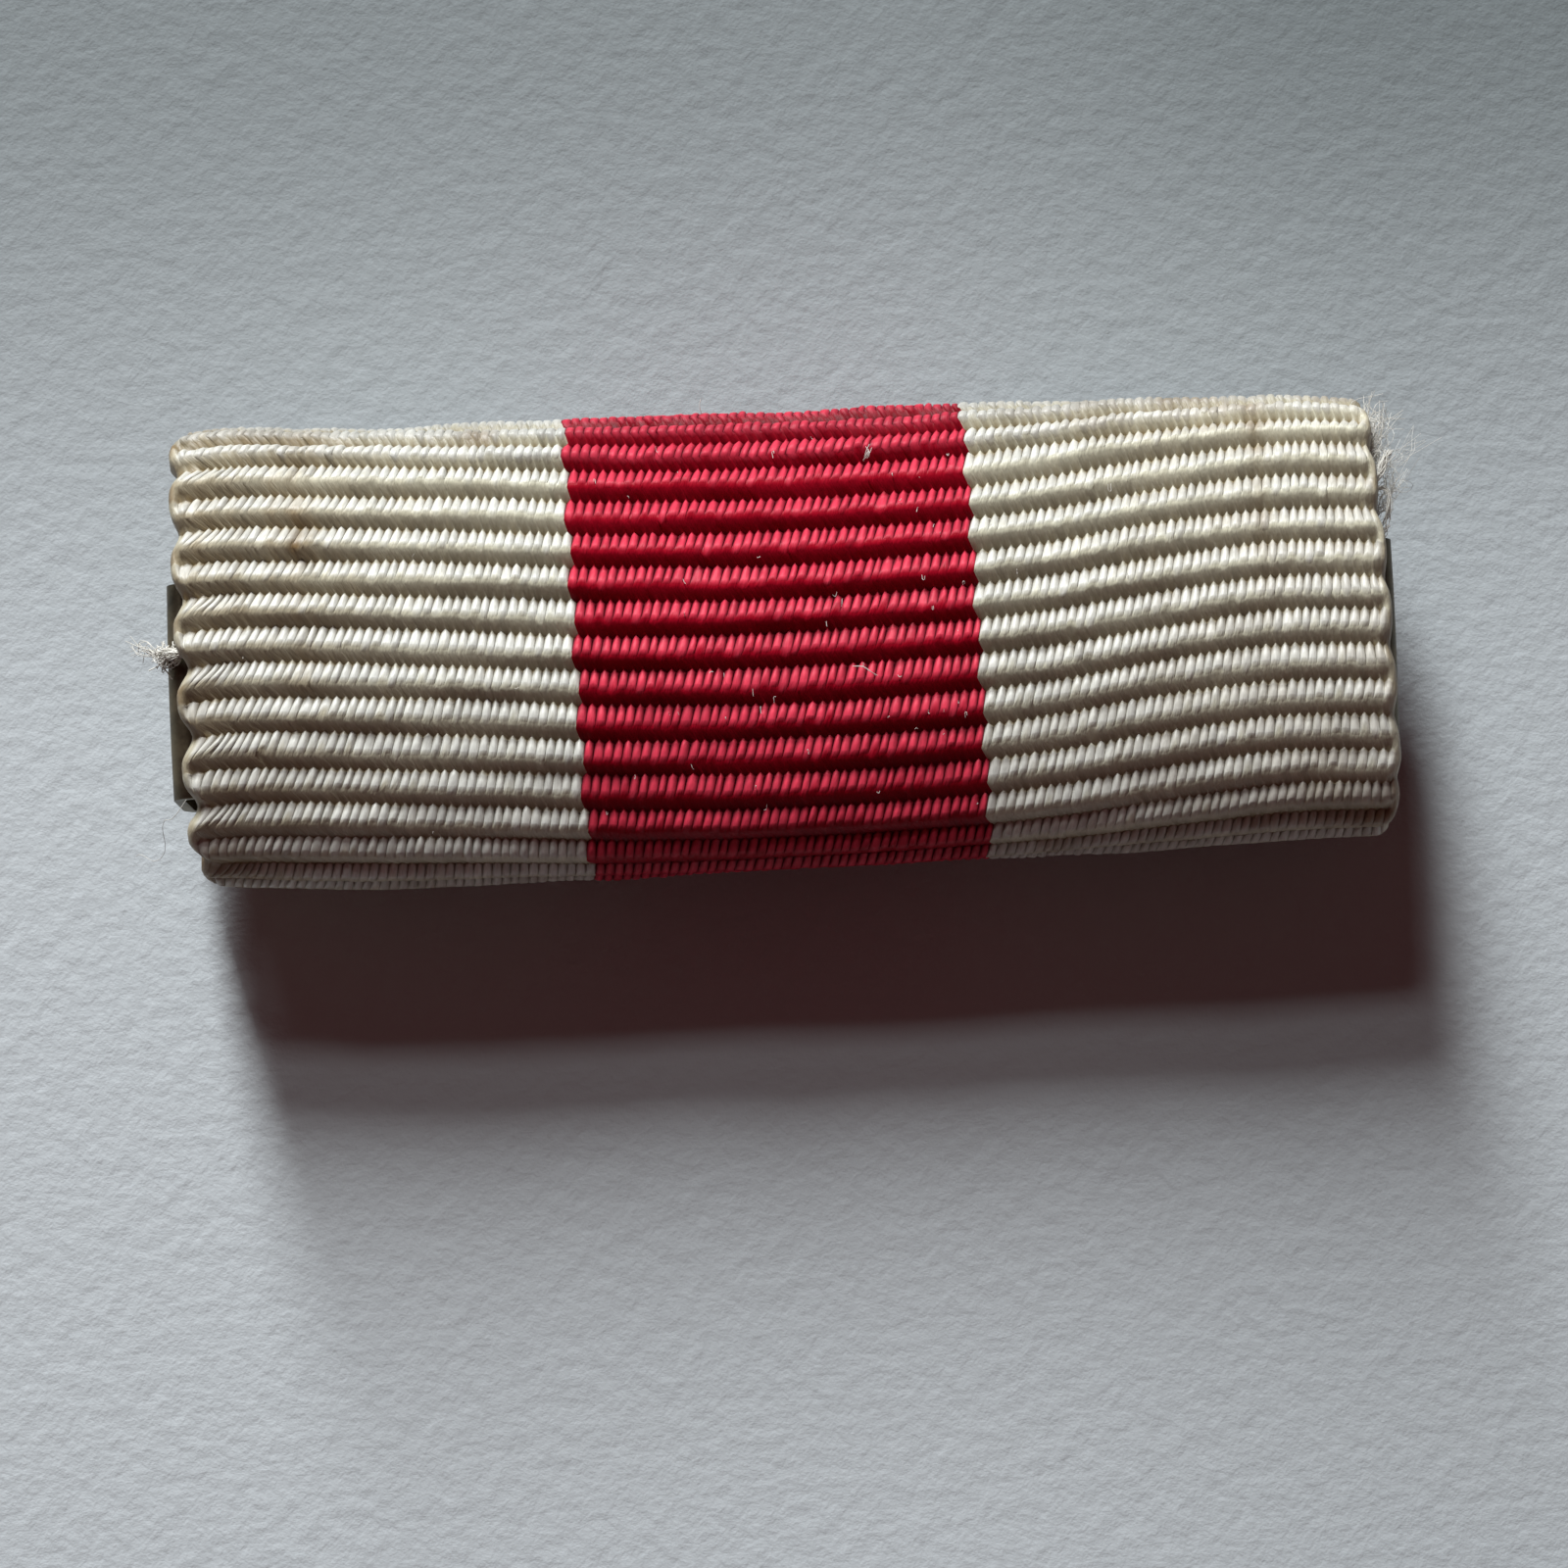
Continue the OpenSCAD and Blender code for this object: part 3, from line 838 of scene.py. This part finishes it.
# %% Keep the gaps and furrows crisp
GAP_CRISP_FROM = 0.4

edge_ends = np.empty(len(mesh.edges) * 2, np.int32)
mesh.edges.foreach_get("vertices", edge_ends)
edge_row, edge_place = np.divmod(np.sort(edge_ends.reshape(-1, 2), axis=1), ring)
start = np.minimum(edge_row[:, 0], rows - 2)
near_selvage = (edge_place < SEAM_COLUMNS) | (edge_place > last - SEAM_COLUMNS)
on_outside = (edge_place <= last).all(axis=1) & (edge_row[:, 0] < rows - 1) & ~near_selvage.any(axis=1)
along_thread = (edge_place[:, 0] == edge_place[:, 1]) & (edge_row[:, 1] == edge_row[:, 0] + 1)
in_gap = (edge_place[:, 0] + HALF_FLOAT * (rib[start, 0] % 2)) % COLUMNS_A_THREAD == HALF_FLOAT
in_furrow = (edge_row[:, 0] == edge_row[:, 1]) & (share[start, 0] == 0)
crisp = on_outside & ((along_thread & in_gap & (share[start, 0] > GAP_CRISP_FROM)) | in_furrow)
mesh.polygons.foreach_set("use_smooth", np.ones(len(mesh.polygons), bool))
mesh.attributes.new("sharp_edge", "BOOLEAN", "EDGE").data.foreach_set("value", crisp)
mesh.update()
mesh.validate()

cloth = add_object("ribbon_cloth", mesh)
print(int(crisp.sum()), "edges are crisp")

# %% [markdown]
# ## Rayon, ivory and red
#
# The warp is rayon, an artificial silk: long smooth filaments laid side by side. Each filament
# throws light round itself but not along itself, so a float shows one bright patch as wide as
# the thread, on the side of the rib that faces the window. An anisotropic gloss does that, with
# its broad direction across the thread.
#
# The arch of a thread is partly in the mesh and partly in a bump that reads the Float map, which
# runs from gap to gap across every float and from furrow to furrow along it. A real filament is
# about 0.02 mm thick. That is too fine to show here, so the noise draws them three times as thick.

# %% Lay the filaments
FILAMENT_MM = 0.06
FILAMENT_RUN_MM = 0.3
ARCH_BUMP = 0.03 * MM


def filament_relief(tree, flat, squared, silky):
    """Filaments on the arch of a float, as noise and as a bump. Pressed floats show them more."""
    # The Float map runs from -0.5 to 0.5 across a float: this is 1 on its crest and about 0 in the gaps
    below = add_node(tree, "Math", {0: squared, 1: -3.96, 2: 1.0}, operation="MULTIPLY_ADD")
    rounded = add_node(tree, "Math", {0: below}, operation="SQRT")
    arched = add_node(tree, "Math", {0: rounded, 1: silky}, operation="MULTIPLY")
    run = add_node(tree, "Mapping", {
        "Vector": flat, "Scale": (1 / FILAMENT_MM, 1 / FILAMENT_RUN_MM, 1 / FILAMENT_MM),
    })
    filaments = add_node(tree, "TexNoise", {"Vector": run, "Scale": 1.0, "Detail": 2.0, "Roughness": 0.6})
    coarse = add_node(tree, "Math", {0: silky, 1: -0.5, 2: 0.8}, operation="MULTIPLY_ADD")
    height = add_node(tree, "Math", {0: filaments, 1: coarse, 2: arched}, operation="MULTIPLY_ADD")
    return filaments, add_node(tree, "Bump", {"Height": height, "Distance": ARCH_BUMP, "Strength": 1.0})


print("filaments", FILAMENT_MM, "mm wide")

# %% [markdown]
# The white has aged to ivory, with tan patches from handling. Deep in the furrows it goes brownish
# and dark: dust, and painted shade. The red dye has held. The standing floats are paler than the
# pressed flank below them: rubbed, and painted sheen where they face the window. The gaps between
# the red ones are painted dark, as shade.

# %% Age the dye
PATCHES_A_MM = 0.55


def aged_dye(tree, flat, silky, fresh, rubbed_and_sheen, toned_and_shaded, dusty_and_shaded):
    """The colour of the dye: fresh, or rubbed with painted sheen; toned in patches, with painted shade at
    the right; dust and painted shade in the furrows.
    """
    toning_and_painted_shade = add_node(tree, "Attribute", attribute_name="toning_and_painted_shade").outputs["Fac"]
    furrow = add_node(tree, "Attribute", attribute_name="furrow").outputs["Fac"]

    # Soft patches, which scale the toning and its painted shade and add a little of their own
    mottle = add_node(tree, "TexNoise", {
        "Vector": flat, "Scale": PATCHES_A_MM, "Detail": 4.0, "Roughness": 0.6,
    })
    patches = add_node(tree, "MapRange", {"Value": mottle, "From Min": 0.35, "From Max": 0.75})
    patchy = add_node(tree, "Math", {0: patches, 1: 0.9, 2: 0.5}, operation="MULTIPLY_ADD")
    # How far the dye goes to the toned colour: age, and painted shade at the right end
    aged_and_shaded = add_node(tree, "Math", {0: toning_and_painted_shade, 1: patchy}, operation="MULTIPLY", use_clamp=True)
    worn = add_node(tree, "Math", {0: patches, 1: 0.12, 2: aged_and_shaded}, operation="MULTIPLY_ADD", use_clamp=True)

    # From clean dye, by way of the toned, to dust and painted shade
    # Standing floats take the rubbed colour: wear, and painted sheen where they face the window
    clean = add_node(tree, "Mix", {
        0: silky, FIRST: linear(fresh), SECOND: linear(rubbed_and_sheen),
    }, data_type="RGBA")
    body = add_node(tree, "Mix", {
        0: worn, FIRST: clean.outputs[MIXED], SECOND: linear(toned_and_shaded),
    }, data_type="RGBA")
    # Dust and painted shade, deepest in the furrows
    deep = add_node(tree, "Math", {0: furrow, 1: 1.5}, operation="POWER")
    dust_and_shade = add_node(tree, "Math", {0: deep, 1: 0.95}, operation="MULTIPLY")
    dusted_and_shaded = add_node(tree, "Mix", {
        0: dust_and_shade, FIRST: body.outputs[MIXED], SECOND: linear(dusty_and_shaded),
    }, data_type="RGBA")
    return dusted_and_shaded.outputs[MIXED]


print("tan patches about", round(1 / PATCHES_A_MM), "mm across")

# %% [markdown]
# Both rayons are one recipe with different dyes. Each float is a little lighter or darker than
# the next, and so is each filament. Light that falls between red floats meets red on all sides,
# so those gaps are painted darker still, as shade.


# %% Weave the two rayons
def rayon(name, fresh, rubbed_and_sheen, toned_and_shaded, dusty_and_shaded, gap_shade, gloss):
    """Filament rayon, with the colours that its dye goes through. Gaps are painted gap_shade darker, as
    shade.
    """
    material, tree = new_material(name)
    flat = add_node(tree, "Attribute", attribute_name="flat_mm").outputs["Vector"]
    tint_and_painted_shade = add_node(tree, "Attribute", attribute_name="tint_and_painted_shade").outputs["Fac"]
    silky = add_node(tree, "Attribute", attribute_name="silky").outputs["Fac"]
    across = add_node(tree, "SeparateXYZ", {"Vector": add_node(tree, "UVMap", uv_map="Float")}).outputs["X"]
    squared = add_node(tree, "Math", {0: across, 1: across}, operation="MULTIPLY")
    filaments, relief = filament_relief(tree, flat, squared, silky)
    dye = aged_dye(tree, flat, silky, fresh, rubbed_and_sheen, toned_and_shaded, dusty_and_shaded)

    # The float's tint, with the painted shade of the top ribs, sets its brightness
    bright = add_node(tree, "Math", {0: tint_and_painted_shade, 1: 0.12, 2: 1.0}, operation="MULTIPLY_ADD")
    streak = add_node(tree, "MapRange", {"Value": filaments, "To Min": 0.72, "To Max": 1.28})
    # Painted shade: the gaps between standing floats are darkened by gap_shade
    to_gap = add_node(tree, "Math", {0: squared, 1: silky}, operation="MULTIPLY")
    open_gap = add_node(tree, "Math", {0: to_gap, 1: -4 * gap_shade, 2: streak}, operation="MULTIPLY_ADD")
    level = add_node(tree, "Math", {0: bright, 1: open_gap}, operation="MULTIPLY")
    colour = add_node(tree, "HueSaturation", {"Color": dye, "Value": level})
    rough = add_node(tree, "MapRange", {"Value": filaments, "To Min": 0.36, "To Max": 0.54})
    across_thread = add_node(tree, "Tangent", direction_type="UV_MAP", uv_map="Float")
    surface = add_node(tree, "BsdfPrincipled", {
        "Base Color": colour, "Roughness": rough, "Normal": relief, "Tangent": across_thread,
        "IOR": 1.52, "Specular IOR Level": gloss, "Anisotropic": 0.6,
    })
    add_node(tree, "OutputMaterial", {"Surface": surface})
    return material


# Colours: fresh, rubbed with painted sheen, toned with painted shade, dusty with painted shade
cloth.data.materials.append(rayon("ivory_rayon", "#CAC7B0", "#CFCFC7", "#836C4A", "#705C35", 0.0, 0.4))
cloth.data.materials.append(rayon("crimson_rayon", "#9C0A20", "#D63E53", "#931423", "#3E0308", 0.8, 0.1))
print("two rayons")

# %% [markdown]
# ## Loose fibres
#
# What makes old cloth look old is partly what comes off it. Here the selvage sheds: a white tuft
# has worked out of the left edge, and a cloud of lint with two white yarns hangs at the upper
# right corner. A few hairs and flecks lie on the red stripe, too. Each is a short curve with
# a round section, far thinner than a thread, and together they are turned into one mesh.

# %% Tools for fibres
WHITE, RED, GREY = 0, 1, 2

fibre_curve = bpy.data.curves.new("loose_fibres", "CURVE")
fibre_curve.dimensions = "3D"
fibre_curve.resolution_u = 5
fibre_curve.bevel_depth = 0.01 * MM
fibre_curve.bevel_resolution = 0
fibre_curve.use_fill_caps = True


def fibre(points, radius, kind):
    """Lays one fibre through points in millimetres, radius in millimetres too."""
    spline = fibre_curve.splines.new("BEZIER")
    spline.bezier_points.add(len(points) - 1)
    for knot, point in zip(spline.bezier_points, points):
        knot.co = [c * MM for c in point]
        knot.handle_left_type = knot.handle_right_type = "AUTO"
        knot.radius = radius * MM / fibre_curve.bevel_depth
    spline.material_index = kind


def wisp(points, count, spread, radius, kind):
    """Lays a loose bundle of fibres along points. They part towards the end."""
    for _ in range(count):
        apart = np.linspace(0.3, 1.3, len(points))[:, None] * spread
        fibre(np.array(points) + dice.normal(0, 1, (len(points), 3)) * apart, radius, kind)


print("a fibre is about", round(2 * fibre_curve.bevel_depth / MM, 3), "mm thick")

# %% [markdown]
# In order, these are the tuft at the left edge, the yarns at the upper right corner with their
# lint, one red end, a hair beside the lower left corner, and two tangles on the stripe.

# %% Pull out the bundles
WISPS = (
    # points, fibres, spread, radius, kind
    (((-15.8, 0, 5.9), (-16.1, 0.02, 5.7), (-16.3, -0.03, 5.4), (-16.4, 0.05, 5.1)), 80, 0.15, 0.018, WHITE),
    (((-16.1, 0.0, 5.5), (-16.5, 0.1, 5.2), (-16.9, 0.25, 4.8), (-17.2, 0.4, 4.5)), 16, 0.12, 0.01, WHITE),
    (((15.75, 3.3, 5.2), (15.95, 3.5, 5.4), (16.15, 3.9, 5.4), (16.35, 4.25, 5.3)), 22, 0.06, 0.012, WHITE),
    (((15.8, 3.3, 5.1), (16.2, 3.25, 5.2), (16.25, 2.8, 5.2), (16.15, 2.4, 5.1)), 14, 0.05, 0.011, WHITE),
    (((15.9, 1.9, 5.2), (16.1, 2.1, 5.2), (16.2, 2.3, 5.1)), 10, 0.06, 0.01, WHITE),
    (((15.3, 3.5, 5.2), (15.6, 3.7, 5.1), (15.8, 4.0, 5.0), (15.95, 4.3, 4.8)), 100, 0.17, 0.009, GREY),
    (((15.4, 3.8, 4.9), (15.75, 4.3, 4.8), (15.85, 4.8, 4.7), (15.95, 5.3, 4.6)), 120, 0.26, 0.007, GREY),
    (((15.9, 2.6, 4.7), (16.2, 3.0, 4.6), (16.4, 3.4, 4.5), (16.5, 3.9, 4.5)), 40, 0.25, 0.006, GREY),
    (((16.1, 3.9, 4.4), (16.6, 4.2, 4.2), (16.9, 4.8, 4.0)), 16, 0.3, 0.005, GREY),
    (((-1.9, 6.05, 4.7), (-1.95, 6.3, 4.8), (-1.9, 6.5, 4.8)), 1, 0.01, 0.009, RED),
    (((-15.9, -3.8, 5.1), (-16.31, -4.24, 4.8), (-16.58, -4.27, 4.5), (-16.69, -5.0, 3.5),
      (-17.01, -5.16, 3.0), (-17.46, -4.93, 2.5), (-17.62, -4.95, 2.2)), 1, 0.01, 0.009, GREY),
    (((2.35, 4.4, 6.25), (2.45, 4.56, 6.35), (2.5, 4.75, 6.25)), 7, 0.04, 0.007, WHITE),
    (((1.83, -1.16, 6.9), (2.1, -1.2, 7.0), (2.3, -1.32, 7.0), (2.46, -1.44, 6.9)), 2, 0.02, 0.007, WHITE),
)
for points, count, spread, radius, kind in WISPS:
    wisp(points, count, spread, radius, kind)
print(len(fibre_curve.splines), "fibres in bundles")

# %% [markdown]
# The flecks of lint lie flat on the ribs, most of them on the red, where they show best. Only a
# few are white, and the others are grey.

# %% Scatter the flecks
FLECKS, FLECKS_ON_RED = 64, 44
RED_REACH, WHOLE_REACH = 0.33, 0.95
WHITE_AMONG_RED = 0.12

for n in range(FLECKS):
    reach = RED_REACH if n < FLECKS_ON_RED else WHOLE_REACH
    middle = (dice.uniform(-reach, reach), dice.uniform(-5.6, 5.8))
    turn = dice.uniform(0, 2 * np.pi)
    long = dice.uniform(0.04, 0.12)
    knots = [(k * long * np.cos(turn) / (RIBBON_W / 2), k * long * np.sin(turn)) for k in (-0.5, 0, 0.5)]
    points = [
        on_the_bar(middle[0] + a, middle[1] + b + dice.normal(0, 0.05), dice.uniform(-0.05, 0.02))
        for a, b in knots
    ]
    on_red = abs(middle[0]) < RED_REACH
    fibre(points, dice.uniform(0.005, 0.01), WHITE if on_red and dice.random() < WHITE_AMONG_RED else GREY)

fibres = add_object("loose_fibres", fibre_curve)
select_only(fibres)
bpy.ops.object.convert(target="MESH")
fibres = bpy.context.object
bpy.ops.object.shade_smooth()
print("fibres", len(fibres.data.polygons), "faces")

# %% [markdown]
# A fibre that has come loose is matt, because its filaments have parted. The white and the red
# are rayon from the ribbon. The grey is cotton lint, through which the ground shows.

# %% Colour the fibres
STRETCH = 0.4 * MM


def lint(name, pale, dark, show):
    """Loose fibre with pale and dark stretches. The ground shows through where show is under 1."""
    material, tree = new_material(name)
    place = add_node(tree, "TexCoord").outputs["Object"]
    stretches = add_node(tree, "TexNoise", {"Vector": place, "Scale": 1 / STRETCH, "Detail": 2.0})
    colour = add_node(tree, "Mix", {
        0: stretches, FIRST: linear(pale), SECOND: linear(dark),
    }, data_type="RGBA")
    surface = add_node(tree, "BsdfPrincipled", {
        "Base Color": colour.outputs[MIXED], "Roughness": 0.5, "Alpha": show, "IOR": 1.52,
        "Sheen Weight": 0.3,
    })
    add_node(tree, "OutputMaterial", {"Surface": surface})
    return material


fibres.data.materials.clear()
for finish in (
    ("ivory_rayon_fibres", "#E8E6DE", "#C4C0B4", 1.0),
    ("crimson_rayon_fibres", "#B4203A", "#8A1024", 1.0),
    ("cotton_lint", "#7E6A5A", "#58483E", 0.55),
):
    fibres.data.materials.append(lint(*finish))
print(len(fibres.data.materials), "kinds of fibre")

# %% [markdown]
# ## Sheet steel and pin
#
# The solids of the plate and the pin have the right shape already, with knife-sharp edges. Sheet
# that has been blanked and folded has edges broken by a few hundredths of a millimetre, which
# catch the light. So each node is copied, its loose triangles are merged, and a bevel runs
# along every edge that turns sharply.

# %% Break the edges of the metal
BROKEN_EDGE = 0.03 * MM
SHARP_TURN = math.radians(35)
ONE_POINT = 0.001 * MM
ONE_PLANE = math.radians(0.5)


def break_edges(node, name):
    """Copies a node's mesh, merges its loose triangles and bevels its sharp edges."""
    copy = add_object(name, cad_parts[node].data.copy())
    copy.data.materials.clear()
    select_only(copy)
    bpy.ops.object.mode_set(mode="EDIT")
    bpy.ops.mesh.select_all(action="SELECT")
    bpy.ops.mesh.remove_doubles(threshold=ONE_POINT)
    bpy.ops.mesh.dissolve_limited(angle_limit=ONE_PLANE)
    bpy.ops.object.mode_set(mode="OBJECT")
    bevel = copy.modifiers.new("broken_edges", "BEVEL")
    bevel.width = BROKEN_EDGE
    bevel.segments = 2
    bevel.limit_method = "ANGLE"
    bevel.angle_limit = SHARP_TURN
    bevel.use_clamp_overlap = True
    bpy.ops.object.modifier_apply(modifier=bevel.name)
    bpy.ops.object.shade_smooth_by_angle(angle=SHARP_TURN)
    print(name, "has", len(copy.data.polygons), "faces")
    return copy


plate = break_edges("backing_plate", "steel_plate")
pin = break_edges("brooch_pin", "brooch_pin_steel")

# %% [markdown]
# The plate was chemically blackened against rust, and handling has worn it back to grey on its
# edges and bends. The pin is thinly nickelled steel that has gone dull. Both are metals, so their
# colour is in their reflection, and their roughness carries most of the wear. Real scratches and
# pits are far finer than a tenth of a millimetre. They are drawn that coarse, so that they show.

# %% Blackened and nickelled steel
SCRATCH_LENGTH = 2.5 * MM
SCRATCH_WIDTH = MM / 9
PIT = 0.12 * MM
PIT_DEPTH = 0.006 * MM


def steel(name, dark, worn, wear_mm, rough_low, rough_high):
    """Thin plating or blacking on steel, worn in patches and scratched by handling."""
    material, tree = new_material(name)
    place = add_node(tree, "TexCoord").outputs["Object"]
    patches = add_node(tree, "TexNoise", {
        "Vector": place, "Scale": 1 / (wear_mm * MM), "Detail": 6.0, "Roughness": 0.62,
    })
    wear = add_node(tree, "MapRange", {"Value": patches, "From Min": 0.42, "From Max": 0.64})
    colour = add_node(tree, "Mix", {0: wear, FIRST: linear(dark), SECOND: linear(worn)}, data_type="RGBA")
    grain = add_node(tree, "Mapping", {
        "Vector": place, "Scale": (1 / SCRATCH_LENGTH, 1 / SCRATCH_WIDTH, 1 / SCRATCH_WIDTH),
    })
    scratches = add_node(tree, "TexNoise", {"Vector": grain, "Scale": 1.0, "Detail": 3.0})
    pits = add_node(tree, "TexNoise", {"Vector": place, "Scale": 1 / PIT, "Detail": 4.0})
    height = add_node(tree, "Math", {0: pits, 1: 0.5, 2: scratches}, operation="MULTIPLY_ADD")
    relief = add_node(tree, "Bump", {"Height": height, "Distance": PIT_DEPTH, "Strength": 0.6})
    rough = add_node(tree, "MapRange", {
        "Value": patches, "From Min": 0.3, "From Max": 0.7, "To Min": rough_low, "To Max": rough_high,
    })
    surface = add_node(tree, "BsdfPrincipled", {
        "Base Color": colour.outputs[MIXED], "Metallic": 1.0, "Roughness": rough, "Normal": relief,
    })
    add_node(tree, "OutputMaterial", {"Surface": surface})
    return material


plate.data.materials.append(steel("blackened_sheet_steel", "#4E483B", "#7E745F", 1.3, 0.38, 0.6))
pin.data.materials.append(steel("dull_nickelled_steel", "#737068", "#969188", 0.9, 0.3, 0.5))
print("two steels")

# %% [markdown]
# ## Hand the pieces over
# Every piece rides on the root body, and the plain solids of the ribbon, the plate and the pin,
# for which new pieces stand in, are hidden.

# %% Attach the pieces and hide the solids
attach(cloth, "root")
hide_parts("ribbon")
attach(fibres, "root")
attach(plate, "root")
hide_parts("backing_plate")
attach(pin, "root")
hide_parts("brooch_pin")
